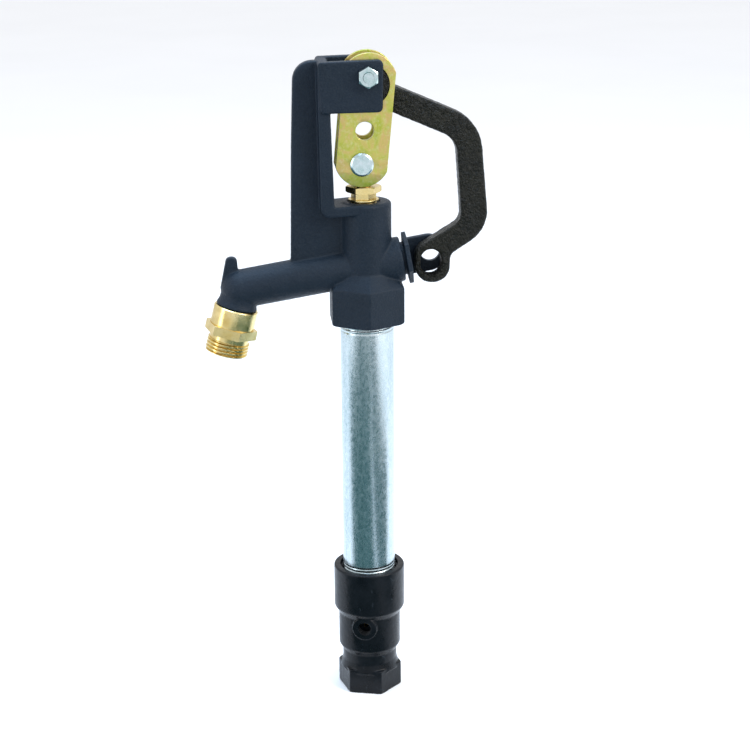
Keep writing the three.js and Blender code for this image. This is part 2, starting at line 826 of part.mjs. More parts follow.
// pivot bolt and nut
const bolt = place(hydrant, 'pivot_bolt', buildPivotBolt(), zinc, PIVOT.x, EAR_OUTER + 0.05, PIVOT.z);
bolt.rotation.x = -Math.PI / 2;
const nut = place(
  hydrant,
  'pivot_nut',
  buildHexNut(NUT_ACROSS, NUT_HEIGHT, BOLT_R + GAP),
  zinc,
  PIVOT.x,
  -EAR_OUTER - 0.05,
  PIVOT.z,
);
nut.rotation.x = Math.PI / 2;

// handle
place(hydrant, 'handle', buildHandle(), bareIron);

// links
const linkGroup = new THREE.Group();
linkGroup.position.set(LINK_PIN.x, 0, LINK_PIN.z);
linkGroup.rotation.y = LINK_LEAN;
hydrant.add(linkGroup);
place(linkGroup, 'front_link', buildLink(), yellowZinc, 0, -LINK_OUTER, 0);
place(linkGroup, 'rear_link', buildLink(), yellowZinc, 0, LINK_INNER, 0);
place(linkGroup, 'link_pin', buildLinkPin(), zinc);
place(linkGroup, 'pin_washer', shape({
  add: [ring(PIN_R + 0.2, 8.4, 0, 1.4, 24).rotateX(-Math.PI / 2)],
}), zinc, 0, LINK_OUTER + 0.1, 0);
place(linkGroup, 'pin_cotter', buildCotter(), zinc, 0, COTTER_Y, 0);

// stem, rod and plunger
place(stemGroup, 'valve_stem', buildStem(), brass);
place(stemGroup, 'rod_coupling', shape({
  add: [hexagon(8, COUPLING_BOTTOM, COUPLING_TOP)],
  cut: [post(STEM_R + GAP, COUPLING_BOTTOM - 1, COUPLING_TOP + 1, SMALL_ROUND)],
}), galvanised);

const rod = place(hydrant, 'operating_rod', shape({
  add: [post(ROD_R, 0, ROD_TOP - ROD_BOTTOM, SMALL_ROUND)],
}), galvanised, 0, 0, ROD_BOTTOM);
rod.rotation.y = Math.atan2(STEM_X, ROD_TOP - ROD_BOTTOM);

place(hydrant, 'rod_jam_nut', buildHexNut(15.9, 5.5, ROD_R + GAP), zinc, 0, 0, PLUNGER_TOP + GAP);
place(hydrant, 'plunger_body', buildPlunger(), brass);
place(hydrant, 'plunger_seal', buildPlungerSeal(), rubber);
place(hydrant, 'seal_screw', buildSealScrew(), brass);
const O_RING_CENTRE_R = CHAMBER_R - 0.15 - O_RING_R;
place(hydrant, 'lower_o_ring', buildORing(O_RING_CENTRE_R), rubber, 0, 0, LOWER_O_RING_Z);
place(hydrant, 'upper_o_ring', buildORing(O_RING_CENTRE_R), rubber, 0, 0, UPPER_O_RING_Z);

export default hydrant;
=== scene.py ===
"""A frost-proof yard hydrant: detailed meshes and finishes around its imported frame.

Shapes are built in millimetres about the frame's own origin and scaled to metres at the end.
The outlet points to -X, the handle to +X and the front of the head to -Y.
"""

import json
import math

import bmesh
import bpy
from mathutils import Matrix, Vector, noise


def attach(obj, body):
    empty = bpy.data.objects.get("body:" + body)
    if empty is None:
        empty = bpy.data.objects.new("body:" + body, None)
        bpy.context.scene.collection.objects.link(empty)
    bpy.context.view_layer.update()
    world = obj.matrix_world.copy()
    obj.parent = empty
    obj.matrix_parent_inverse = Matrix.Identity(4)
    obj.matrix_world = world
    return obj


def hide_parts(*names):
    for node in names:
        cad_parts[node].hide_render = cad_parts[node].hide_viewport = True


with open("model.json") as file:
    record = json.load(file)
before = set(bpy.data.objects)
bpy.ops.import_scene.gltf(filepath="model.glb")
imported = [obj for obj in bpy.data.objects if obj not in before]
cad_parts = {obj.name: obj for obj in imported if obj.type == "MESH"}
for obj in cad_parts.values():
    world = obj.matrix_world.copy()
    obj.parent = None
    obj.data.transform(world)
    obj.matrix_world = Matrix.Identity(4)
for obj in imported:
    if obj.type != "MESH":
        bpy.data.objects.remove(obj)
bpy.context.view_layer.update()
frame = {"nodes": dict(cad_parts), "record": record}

MM = 0.001
BODIES = frame["record"]["behaviour"]["bodies"]
BODY_OF = {node: body for body, nodes in BODIES.items() for node in nodes}

# ------------------------------------------------------------------ sizes, in millimetres

PIPE_R = 16.7
PIPE_BORE_R = 13.3
PIPE_THREAD_PITCH = 2.21

BODY_TOP = 85.9
INLET_HEX_R = 20.9
INLET_HEX_TOP = 16.3
INLET_TURN = math.radians(-14.2)
DRAIN_Z = 48

HEAD_HEX_BOTTOM = 249.5
HEAD_HEX_TOP = 272.6
HEAD_HEX_R = 25.75
HEAD_HEX_FLAT_R = 24.4
HEAD_SHOULDER = (15.3, 281.6)
BARREL_R = 15.5
BARREL_TOP = 325.1
STEM_X = -1.4
STEM_R = 4.7
STUFFING_BOX_R = 8.4

SIDE_AXIS_Z = 284.6
SIDE_TILT = math.radians(9.3)
SIDE_ANGLE = math.pi / 2 - SIDE_TILT
SPOUT_R = 12.1
SPOUT_REACH = -78.6
OUTLET_TILT = math.radians(14.5)
OUTLET_ANGLE = math.pi + OUTLET_TILT
OUTLET_LENGTH = 11.6
ELBOW = Vector((SPOUT_REACH * math.cos(SIDE_TILT), SIDE_AXIS_Z + SPOUT_REACH * math.sin(SIDE_TILT)))
OUTLET = ELBOW - OUTLET_LENGTH * Vector((math.sin(OUTLET_TILT), math.cos(OUTLET_TILT)))

YOKE_HALF = 14.5
EAR_INNER = 10.3
EAR_OUTER = 16.5

PIVOT = Vector((0.4, 402.2))
ECCENTRIC = Vector((1.5, 396.3))
BOLT_R = 3.15
HANDLE_HALF = 6

LINK_PIN = Vector((-3, 348.9))
LINK_LEAN = math.atan2(*(ECCENTRIC - LINK_PIN))
LINK_CENTRES = (ECCENTRIC - LINK_PIN).length
LINK_INNER = 6.35
LINK_OUTER = 9.5
PIN_R = 4.7

HOSE_THREAD_PITCH = 2.209
HOSE_THREAD_R = 13.2

# ------------------------------------------------------------------ mesh tools


def new_object(name, mesh):
    obj = bpy.data.objects.new(name, mesh)
    bpy.context.scene.collection.objects.link(obj)
    return obj


def from_bmesh(name, bm):
    bmesh.ops.recalc_face_normals(bm, faces=bm.faces)
    mesh = bpy.data.meshes.new(name)
    bm.to_mesh(mesh)
    bm.free()
    return new_object(name, mesh)


def evaluated_mesh(obj):
    graph = bpy.context.evaluated_depsgraph_get()
    return bpy.data.meshes.new_from_object(obj.evaluated_get(graph))


def settle(obj):
    """Applies the object's modifiers."""
    mesh = evaluated_mesh(obj)
    obj.modifiers.clear()
    obj.data = mesh
    return obj


def moved(obj, matrix):
    obj.data.transform(matrix)
    return obj


def aimed(obj, x, z, angle):
    """Turns a shape built along +Z by an angle from +Z towards +X and moves it to (x, z)."""
    return moved(obj, Matrix.Translation((x, 0, z)) @ Matrix.Rotation(angle, 4, "Y"))


def on_side_axis(obj):
    return aimed(obj, 0, SIDE_AXIS_Z, SIDE_ANGLE)


def on_outlet(obj):
    return aimed(obj, OUTLET.x, OUTLET.y, OUTLET_ANGLE)


def on_stem(obj):
    return moved(obj, Matrix.Translation((STEM_X, 0, 0)))


def towards_front(obj, x, z, y=0):
    """Turns a shape built along +Z so that it points to -Y, from the point (x, y, z)."""
    return moved(obj, Matrix.Translation((x, y, z)) @ Matrix.Rotation(math.pi / 2, 4, "X"))


def rounded(corners, step=9):
    """The points of a closed outline from corners (x, y, radius), with arcs at its rounds."""
    points = []
    for i, (x, y, radius) in enumerate(corners):
        corner = Vector((x, y))
        if radius == 0:
            points.append((x, y))
            continue
        back = (Vector(corners[i - 1][:2]) - corner).normalized()
        ahead = (Vector(corners[(i + 1) % len(corners)][:2]) - corner).normalized()
        half = back.angle(ahead) / 2
        centre = corner + (back + ahead).normalized() * (radius / math.sin(half))
        start = corner + back * (radius / math.tan(half)) - centre
        sweep = start.angle_signed(corner + ahead * (radius / math.tan(half)) - centre)
        steps = max(2, math.ceil(abs(math.degrees(sweep)) / step))
        for k in range(steps + 1):
            spoke = Matrix.Rotation(-sweep * k / steps, 2) @ start
            points.append(tuple(centre + spoke))
    return points


def circle(x, y, radius, segments=64):
    turns = [2 * math.pi * k / segments for k in range(segments)]
    return [(x + radius * math.cos(a), y + radius * math.sin(a)) for a in turns]


def around(profile, segments=96, name="turned"):
    """A closed surface about Z. profile is a list of (radius, z), or a function that gives it
    for a turn from 0 to 1. It starts and ends on the axis, or else closes on itself."""
    profile_at = profile if callable(profile) else lambda turn: profile
    columns = [profile_at(k / segments) for k in range(segments)]
    on_axis = columns[0][0][0] == 0
    bm = bmesh.new()
    grid = []
    for k, column in enumerate(columns):
        cos, sin = math.cos(2 * math.pi * k / segments), math.sin(2 * math.pi * k / segments)
        points = column[1:-1] if on_axis else column
        grid.append([bm.verts.new((r * cos, r * sin, z)) for r, z in points])
    rows = len(grid[0])
    for k in range(segments):
        here, there = grid[k], grid[(k + 1) % segments]
        for j in range(rows - 1 if on_axis else rows):
            up = (j + 1) % rows
            bm.faces.new((here[j], there[j], there[up], here[up]))
    if on_axis:
        bottom = bm.verts.new((0, 0, columns[0][0][1]))
        top = bm.verts.new((0, 0, columns[0][-1][1]))
        for k in range(segments):
            here, there = grid[k], grid[(k + 1) % segments]
            bm.faces.new((bottom, there[0], here[0]))
            bm.faces.new((top, here[-1], there[-1]))
    bmesh.ops.remove_doubles(bm, verts=bm.verts, dist=1e-5)
    return from_bmesh(name, bm)


def post(radius, bottom, top, segments=64, round_off=0.0):
    edge = [(radius, bottom, round_off), (radius, top, round_off)]
    return around(rounded([(0, bottom, 0), *edge, (0, top, 0)]), segments, "post")


def hex_reach(corner_r, turn):
    """How far a hexagon reaches from its axis at a turn from 0 to 1; a corner is at 0."""
    return corner_r * math.cos(math.pi / 6) / math.cos(math.radians((turn * 360) % 60 - 30))


def hexagon(
    corner_r, bottom, top, bore=0.0, flat_r=None, low_bevel=True, high_bevel=True, turn=0.0
):
    """A hexagonal prism with a corner towards -Y. Cones at 30 degrees take its corners off
    outside flat_r."""
    flat_r = flat_r or 0.965 * corner_r
    slope = math.tan(math.radians(30))

    def profile_at(t):
        reach = hex_reach(corner_r, t)
        flat = min(flat_r, reach)
        low = bottom + slope * (reach - flat) if low_bevel else bottom
        high = top - slope * (reach - flat) if high_bevel else top
        side = [(flat, bottom), (reach, low), (reach, high), (flat, top)]
        return [(bore, bottom), *side, (bore, top)]

    return moved(around(profile_at, name="hexagon"), Matrix.Rotation(turn - math.pi / 2, 4, "Z"))


def thread(major, depth, pitch, bottom, top, inner=0.0):
    """A right-handed screw thread about Z that runs out at both ends."""
    steps = math.ceil((top - bottom) / pitch * 12)

    def profile_at(t):
        points = []
        for k in range(steps + 1):
            z = bottom + (top - bottom) * k / steps
            fade = min(1, (z - bottom) / pitch, (top - z) / pitch)
            points.append((major - depth * thread_groove(z, t, pitch, 0.22, 0.56) * fade, z))
        return [(inner, bottom), *points, (inner, top)]

    return around(profile_at, name="thread")


def thread_groove(z, turn, pitch, crest, flank):
    """How deep a thread is cut at a height and a turn: 0 on its crest, 1 at its root."""
    wave = abs(2 * ((z / pitch - turn) % 1) - 1)
    return min(1, max(0, (wave - crest) / flank))


def curve_to_mesh(name, curve):
    source = new_object(name, curve)
    mesh = evaluated_mesh(source)
    bpy.data.objects.remove(source)
    bm = bmesh.new()
    bm.from_mesh(mesh)
    bmesh.ops.remove_doubles(bm, verts=bm.verts, dist=1e-4)
    return from_bmesh(name, bm)


def plate(outline, front, back, holes=(), edge=0.3, resolution=2):
    """A flat outline in the XZ plane, thickened along Y, with rounded edges."""
    curve = bpy.data.curves.new("plate", "CURVE")
    curve.dimensions = "2D"
    curve.fill_mode = "BOTH"
    curve.extrude = (back - front) / 2 - edge
    curve.bevel_depth = edge
    curve.bevel_resolution = resolution
    curve.offset = -edge
    for ring in [outline, *holes]:
        spline = curve.splines.new("POLY")
        spline.points.add(len(ring) - 1)
        spline.use_cyclic_u = True
        for point, (x, z) in zip(spline.points, ring):
            point.co = (x, z, 0, 1)
    return towards_front(curve_to_mesh("plate", curve), 0, 0, (front + back) / 2)


def gathered(*objects):
    """One object with the meshes of several closed ones."""
    bm = bmesh.new()
    for obj in objects:
        bm.from_mesh(obj.data)
        bpy.data.objects.remove(obj)
    return from_bmesh("gathered", bm)


def combined(obj, others, operation):
    for other in others:
        modifier = obj.modifiers.new("join", "BOOLEAN")
        modifier.operation = operation
        modifier.solver = "MANIFOLD"
        modifier.object = other
        settle(obj)
        bpy.data.objects.remove(other)
    return obj


def carved(obj, *cutters):
    return combined(obj, cutters, "DIFFERENCE")


def joined(obj, *others):
    return combined(obj, others, "UNION")


def cast(obj, voxel, smoothing):
    """Melts overlapping closed shapes into one skin with soft fillets, as a casting has."""
    remesh = obj.modifiers.new("skin", "REMESH")
    remesh.mode = "VOXEL"
    remesh.voxel_size = voxel
    settle(obj)
    smooth = obj.modifiers.new("fillets", "SMOOTH")
    smooth.factor = 0.5
    smooth.iterations = smoothing
    return settle(obj)


def roughened(obj, depth, scale, seed, octaves=3):
    """Pushes the surface in by a seeded noise, so that it never leaves its box."""
    offset = Vector((seed, 2 * seed, 3 * seed))
    normals = [vertex.normal.copy() for vertex in obj.data.vertices]
    for vertex, normal in zip(obj.data.vertices, normals):
        value = noise.fractal(vertex.co / scale + offset, 1.0, 2.0, octaves)
        vertex.co -= normal * depth * (0.5 + 0.5 * max(-1, min(1, value)))
    return obj


def piece(obj, name, material, node, sharp=35):
    obj.name = name
    obj.data.name = name
    obj.data.transform(Matrix.Scale(MM, 4))
    obj.data.materials.clear()
    obj.data.materials.append(material)
    obj.data.shade_smooth()
    obj.data.set_sharp_from_angle(angle=math.radians(sharp))
    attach(obj, BODY_OF[node])
    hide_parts(node)
    return obj


# ------------------------------------------------------------------ material tools


class Nodes:
    """A material whose nodes are added by short calls."""

    def __init__(self, name):
        self.material = bpy.data.materials.new(name)
        self.material.use_nodes = True
        self.tree = self.material.node_tree
        self.shader = self.tree.nodes["Principled BSDF"]
        self.position = self.tree.nodes.new("ShaderNodeNewGeometry").outputs["Position"]
        self.normal = None

    def set(self, **values):
        for name, value in values.items():
            self.shader.inputs[name.replace("_", " ")].default_value = value

    def add(self, kind, inputs=None, **settings):
        node = self.tree.nodes.new(kind)
        for name, value in settings.items():
            setattr(node, name, value)
        for name, value in (inputs or {}).items():
            self.feed(node.inputs[name], value)
        return node

    def feed(self, socket, value):
        if isinstance(value, bpy.types.NodeSocket):
            self.tree.links.new(value, socket)
        else:
            socket.default_value = value

    def stretched(self, scale):
        node = self.add("ShaderNodeVectorMath", operation="MULTIPLY")
        self.feed(node.inputs[0], self.position)
        node.inputs[1].default_value = scale
        return node.outputs[0]

    def noise(self, size, detail=3.0, roughness=0.6, stretch=(1, 1, 1), distortion=0.0):
        """Noise with features of about size metres."""
        inputs = {
            "Vector": self.stretched(stretch),
            "Scale": 1 / size,
            "Detail": detail,
            "Roughness": roughness,
            "Distortion": distortion,
        }
        return self.add("ShaderNodeTexNoise", inputs).outputs["Fac"]

    def cells(self, size):
        inputs = {"Vector": self.position, "Scale": 1 / size}
        return self.add("ShaderNodeTexVoronoi", inputs).outputs["Distance"]

    def ramp(self, value, *stops):
        node = self.add("ShaderNodeValToRGB", {"Fac": value})
        elements = node.color_ramp.elements
        while len(elements) < len(stops):
            elements.new(0.5)
        for element, (place, colour) in zip(elements, stops):
            element.position = place
            element.color = (*colour, 1)
        return node.outputs["Color"]

    def mix(self, share, first, second):
        node = self.add("ShaderNodeMix", data_type="RGBA")
        self.feed(node.inputs[0], share)
        for socket, value in ((node.inputs[6], first), (node.inputs[7], second)):
            self.feed(socket, (*value, 1) if isinstance(value, tuple) else value)
        return node.outputs[2]

    def range(self, value, low, high, new_low, new_high):
        node = self.add("ShaderNodeMapRange", {"Value": value})
        numbers = {"From Min": low, "From Max": high, "To Min": new_low, "To Max": new_high}
        for name, number in numbers.items():
            node.inputs[name].default_value = number
        return node.outputs["Result"]

    def bump(self, height, distance, strength=1.0):
        inputs = {"Height": height, "Distance": distance, "Strength": strength}
        node = self.add("ShaderNodeBump", inputs)
        if self.normal:
            self.feed(node.inputs["Normal"], self.normal)
        self.normal = node.outputs["Normal"]

    def shade_in_hollows(self, deep, flat):
        """1 in grooves and inner corners, 0 on flat and convex places, from the pointiness. It
        masks painted shade.
        """
        pointiness = self.tree.nodes["Geometry"].outputs["Pointiness"]
        return self.range(pointiness, deep, flat, 1.0, 0.0)

    def done(self, colour, roughness):
        self.feed(self.shader.inputs["Base Color"], colour)
        self.feed(self.shader.inputs["Roughness"], roughness)
        if self.normal:
            self.feed(self.shader.inputs["Normal"], self.normal)
        return self.material


def coated_casting():
    """Slate-blue black powder coat over a sand casting."""
    m = Nodes("coated_casting")
    m.set(Metallic=0.0, Specular_IOR_Level=0.2)
    broad = m.noise(0.018, 2.0)
    grain = m.noise(0.0009, 2.0, 0.7)
    colour = m.ramp(broad, (0.3, (0.003, 0.009, 0.018)), (0.7, (0.005, 0.012, 0.023)))
    colour = m.mix(m.range(grain, 0.4, 0.75, 0.0, 0.7), colour, (0.013, 0.022, 0.032))
    m.bump(m.noise(0.006, 2.0), 0.0003, 0.5)
    m.bump(grain, 0.0004, 0.9)
    return m.done(colour, m.range(grain, 0.3, 0.7, 0.38, 0.58))


def foot_valve_coat():
    """Near-black semi-gloss coat with scuffs."""
    m = Nodes("foot_valve_coat")
    m.set(Metallic=0.0, Specular_IOR_Level=0.2)
    patches = m.noise(0.012, 4.0, 0.65)
    scuffs = m.range(m.noise(0.0035, 5.0, 0.75, (1, 1, 0.5), 0.8), 0.62, 0.74, 0.0, 1.0)
    colour = m.ramp(patches, (0.35, (0.0015, 0.0025, 0.004)), (0.7, (0.004, 0.006, 0.009)))
    colour = m.mix(scuffs, colour, (0.03, 0.04, 0.05))
    m.bump(m.noise(0.004, 3.0), 0.0002, 0.5)
    m.bump(m.noise(0.0007, 2.0), 0.00006, 0.6)
    return m.done(colour, m.range(patches, 0.3, 0.7, 0.22, 0.38))


def handle_iron():
    """Black varnish over rough grey-iron skin, olive in the light."""
    m = Nodes("handle_iron")
    m.set(Metallic=0.0, Specular_IOR_Level=0.26)
    pebble = m.noise(0.0024, 3.0, 0.65, distortion=0.6)
    grit = m.noise(0.0012, 4.0, 0.7)
    broad = m.noise(0.014, 3.0)
    colour = m.ramp(broad, (0.3, (0.003, 0.0035, 0.0022)), (0.7, (0.008, 0.008, 0.0045)))
    colour = m.mix(m.range(grit, 0.55, 0.75, 0.0, 0.8), colour, (0.022, 0.022, 0.013))
    m.bump(pebble, 0.0032, 1.0)
    m.bump(grit, 0.0006, 0.8)
    return m.done(colour, m.range(grit, 0.3, 0.7, 0.2, 0.42))


def galvanised(name, streak=1.0):
    """Bright drawn zinc with a vertical grain, streak deep, and a pale teal mottle."""
    m = Nodes(name)
    m.set(Metallic=1.0, Anisotropic=0.35)
    grain = m.noise(0.0009, 4.0, 0.65, (1, 1, 0.035))
    bands = m.noise(0.006, 2.0, 0.5, (1, 1, 0.02))
    spangle = m.noise(0.0016, 4.0, 0.75, (1, 1, 0.55))
    cloud = m.noise(0.02, 3.0, 0.6, (1, 1, 0.4))
    colour = m.ramp(
        spangle,
        (0.3, (0.22, 0.32, 0.325)),
        (0.5, (0.38, 0.47, 0.485)),
        (0.75, (0.62, 0.69, 0.72)),
    )
    colour = m.mix(m.range(bands, 0.35, 0.7, 0.0, 0.55), colour, (0.62, 0.7, 0.77))
    colour = m.mix(m.range(cloud, 0.4, 0.75, 0.0, 0.35), colour, (0.78, 0.82, 0.84))
    m.bump(grain, 0.00005, 0.6 * streak)
    m.bump(spangle, 0.00004, 0.5)
    return m.done(colour, m.range(spangle, 0.3, 0.7, 0.2, 0.34))


def brass():
    """Machined brass with fine turning marks, a light olive film and painted shade in its grooves.
    """
    m = Nodes("turned_brass")
    m.set(Metallic=1.0, Anisotropic=0.3)
    film = m.noise(0.008, 3.0, 0.6)
    marks = m.noise(0.0006, 3.0, 0.6)
    colour = m.ramp(film, (0.3, (0.62, 0.46, 0.16)), (0.7, (0.86, 0.71, 0.36)))
    colour = m.mix(m.range(marks, 0.45, 0.8, 0.0, 0.3), colour, (0.34, 0.26, 0.08))
    # painted shade: grooves and inner corners are darkened to dark brown by their pointiness,
    # standing in for shadow
    colour = m.mix(m.shade_in_hollows(0.4, 0.49), colour, (0.10, 0.06, 0.02))
    m.bump(marks, 0.00002, 0.6)
    return m.done(colour, m.range(film, 0.3, 0.7, 0.16, 0.28))


def yellow_zinc():
    """Yellow chromate on zinc: green-gold with pink clouds and fine scratches."""
    m = Nodes("yellow_zinc")
    m.set(Metallic=1.0, Anisotropic=0.2)
    cloud = m.noise(0.011, 3.0, 0.6, distortion=1.2)
    fine = m.noise(0.0022, 4.0, 0.7)
    colour = m.ramp(
        cloud,
        (0.32, (0.42, 0.47, 0.07)),
        (0.47, (0.54, 0.52, 0.13)),
        (0.6, (0.62, 0.45, 0.17)),
        (0.72, (0.50, 0.50, 0.11)),
    )
    colour = m.mix(m.range(fine, 0.5, 0.8, 0.0, 0.5), colour, (0.78, 0.75, 0.5))
    scratches = m.noise(0.0012, 3.0, 0.6, (0.12, 1, 1.6))
    m.bump(scratches, 0.00004, 0.5)
    m.bump(m.noise(0.003, 2.0), 0.00008, 0.4)
    return m.done(colour, m.range(fine, 0.3, 0.75, 0.26, 0.4))


def bright_zinc():
    """Clear zinc plate, bluish white, lightly turned."""
    m = Nodes("bright_zinc")
    m.set(Metallic=1.0, Anisotropic=0.2)
    cloud = m.noise(0.004, 3.0, 0.6)
    fine = m.noise(0.0007, 3.0, 0.7)
    colour = m.ramp(cloud, (0.3, (0.40, 0.54, 0.54)), (0.7, (0.62, 0.70, 0.72)))
    m.bump(fine, 0.00003, 0.6)
    return m.done(colour, m.range(fine, 0.3, 0.7, 0.16, 0.3))


def rubber():
    m = Nodes("black_rubber")
    m.set(Metallic=0.0, Specular_IOR_Level=0.4, Sheen_Weight=0.2)
    dust = m.noise(0.002, 4.0)
    colour = m.ramp(dust, (0.35, (0.012, 0.012, 0.013)), (0.75, (0.03, 0.03, 0.031)))
    m.bump(dust, 0.0001, 0.4)
    return m.done(colour, m.range(dust, 0.3, 0.7, 0.55, 0.75))


def graphite_packing():
    m = Nodes("graphite_packing")
    m.set(Metallic=0.0, Specular_IOR_Level=0.5)
    weave = m.cells(0.0014)
    colour = m.ramp(weave, (0.1, (0.05, 0.052, 0.056)), (0.8, (0.014, 0.014, 0.016)))
    m.bump(weave, 0.0003, 0.7)
    return m.done(colour, m.range(weave, 0.0, 0.8, 0.4, 0.7))


COATED = coated_casting()
VALVE_COAT = foot_valve_coat()
HANDLE_IRON = handle_iron()
PIPE_ZINC = galvanised("galvanised_pipe")
ROD_ZINC = galvanised("galvanised_rod", 0.6)
BRASS = brass()
YELLOW_ZINC = yellow_zinc()
BRIGHT_ZINC = bright_zinc()
RUBBER = rubber()
GRAPHITE = graphite_packing()

# ------------------------------------------------------------------ head casting


def side_profile(*corners):
    """A turned shape from the corners (radius, z, rounding) of its side."""
    return around(rounded(list(corners)))


def head_hex():
    """The hexagon runs into the barrel through six sloping faces."""
    def profile_at(t):
        reach = hex_reach(HEAD_HEX_R, t)
        flat = min(HEAD_HEX_FLAT_R, reach)
        low = HEAD_HEX_BOTTOM + reach - flat
        return [
            (0, HEAD_HEX_BOTTOM),
            (flat, HEAD_HEX_BOTTOM),
            (reach, low),
            (reach, HEAD_HEX_TOP),
            HEAD_SHOULDER,
            (0, HEAD_SHOULDER[1]),
        ]

    return moved(around(profile_at), Matrix.Rotation(-math.pi / 2, 4, "Z"))


def web():
    outline = rounded([
        (-46.8, 280, 0),
        (-45, 357, 400),
        (-43, 410.3, 12),
        (-25, 410.3, 0),
        (-25, 322, 0),
        (-8, 322, 0),
        (-8, 278, 0),
    ])
    return plate(outline, -4, 4, edge=1.3)


def yoke():
    outline = rounded([
        (-29.3, 410.6, 2),
        (-28.2, 317.3, 6),
        (-4, 318.6, 0),
        (-4, BARREL_TOP, 0),
        (-19.9, 323.8, 1.5),
        (-22.5, 410.6, 0.8),
    ])
    return plate(outline, -YOKE_HALF, YOKE_HALF, edge=0.9)


def ear(front, back):
    outline = rounded([
        (-29.3, 410.8, 2.5),
        (-27.3, 380.5, 3),
        (9.3, 380.9, 3),
        (9.8, 411.8, 3.2),
    ])
    return plate(outline, front, back, edge=0.8)


def hook():
    outline = rounded([
        (-85.9, 292.2, 3.1),
        (-90, 273, 0),
        (-78, 270, 0),
        (-79.3, 292.2, 3.1),
    ])
    return plate(outline, -2.7, 2.7, edge=0.9)


def outlet_collar():
    return on_outlet(side_profile(
        (0, -OUTLET_LENGTH, 0),
        (11.2, -OUTLET_LENGTH, 0),
        (11.6, -4, 3),
        (12.9, -0.35, 0.3),
        (10.5, -0.35, 0),
        (10.5, 8.4, 0.5),
        (0, 8.4, 0),
    ))


def head_casting():
    barrel = side_profile(
        (0, 277, 0), (BARREL_R, 277, 0), (BARREL_R, BARREL_TOP, 2.2), (0, BARREL_TOP, 0))
    ball_r = SPOUT_R * 1.012
    ball_turns = [math.pi * k / 24 for k in range(25)]
    elbow = side_profile(*[(ball_r * math.sin(a), -ball_r * math.cos(a), 0) for a in ball_turns])
    skin = cast(gathered(
        head_hex(),
        barrel,
        web(),
        yoke(),
        ear(-EAR_OUTER, -EAR_INNER),
        ear(EAR_INNER, EAR_OUTER),
        on_side_axis(post(SPOUT_R, SPOUT_REACH, 0)),
        on_side_axis(post(13.9, 0, 22.3, round_off=1)),
        moved(elbow, Matrix.Translation((ELBOW.x, 0, ELBOW.y))),
        outlet_collar(),
        hook(),
    ), 0.5, 4)
    roughened(skin, 0.12, 2.2, 11)
    mouth = side_profile((0, 323.9, 0), (9.6, 323.9, 0), (10.8, 326, 0), (0, 326, 0))
    pipe_socket = post(PIPE_R + 0.3, HEAD_HEX_BOTTOM - 2, 267.3)
    bolt_hole = towards_front(post(BOLT_R + 0.3, -30, 30), PIVOT.x, PIVOT.y)
    stuffing_box = on_stem(post(STUFFING_BOX_R, 303, BARREL_TOP + 2))
    stem_hole = on_stem(post(STEM_R + 0.4, 280, 305))
    spout_bore = on_side_axis(post(8.6, SPOUT_REACH, -4))
    plug_socket = on_side_axis(post(10.45, 6, 24))
    outlet_bore = on_outlet(post(8, -OUTLET_LENGTH, 10))
    return carved(
        skin,
        pipe_socket,
        post(PIPE_BORE_R, 260, 292),
        bolt_hole,
        stuffing_box,
        on_stem(mouth),
        stem_hole,
        spout_bore,
        plug_socket,
        outlet_bore,
    )


piece(head_casting(), "hydrant_head", COATED, "head_casting", 40)

# ------------------------------------------------------------------ plug with the padlock lug


def lock_plug():
    lug = rounded([(-10.1, 24.7, 0), (-10.1, 49, 9), (13, 49, 9), (13, 24.7, 0)])
    body = gathered(
        post(10.2, 9, 25),
        hexagon(16.15, 24.2, 27.1, flat_r=16, turn=math.radians(78)),
        plate(lug, 6.7, 11.7, holes=[circle(0.7, 40.6, 6)], edge=0.9),
    )
    skin = cast(body, 0.4, 2)
    return on_side_axis(roughened(skin, 0.1, 2.0, 5))


piece(lock_plug(), "padlock_plug", COATED, "lock_plug", 40)

# ------------------------------------------------------------------ handle


def slot_ring(x, z, radius, half):
    """The outline of a round-ended upright hole."""
    turns = [math.pi * k / 24 for k in range(25)]
    top = [(x + radius * math.cos(a), z + half + radius * math.sin(a)) for a in turns]
    return top + [(2 * x - px, 2 * z - pz) for px, pz in top]


def lift_handle():
    arm = rounded([
        (-7, 388.8, 0),
        (54.3, 362.2, 14),
        (57.7, 312.2, 8.5),
        (29.5, 294.9, 10),
        (29.5, 273.4, 10.4),
        (50.9, 273.4, 10.4),
        (51.6, 291, 5),
        (75.2, 306.2, 22),
        (69.1, 372.8, 27),
        (-4, 404.4, 0),
    ])
    eye = slot_ring(39.4, 286.2, 6.3, 1.8)
    body = gathered(
        plate(arm, -HANDLE_HALF, HANDLE_HALF, holes=[eye], edge=1.7, resolution=4),
        towards_front(post(14.5, -HANDLE_HALF, HANDLE_HALF, round_off=0.8), *ECCENTRIC),
    )
    skin = cast(body, 0.5, 5)
    roughened(skin, 0.3, 2.6, 3, 4)
    hub_half = LINK_OUTER - 0.02
    hub = towards_front(post(12.1, -hub_half, hub_half, 96, 0.4), *ECCENTRIC)
    bore = towards_front(post(BOLT_R + 0.1, -30, 30), PIVOT.x, PIVOT.y)
    return carved(joined(skin, hub), bore)


piece(lift_handle(), "lift_handle", HANDLE_IRON, "handle", 40)

# ------------------------------------------------------------------ foot valve


def towards_drain(obj):
    turn = Matrix.Translation((0, 0, DRAIN_Z)) @ Matrix.Rotation(INLET_TURN, 4, "Z")
    return moved(obj, turn @ Matrix.Rotation(math.pi / 2, 4, "X"))


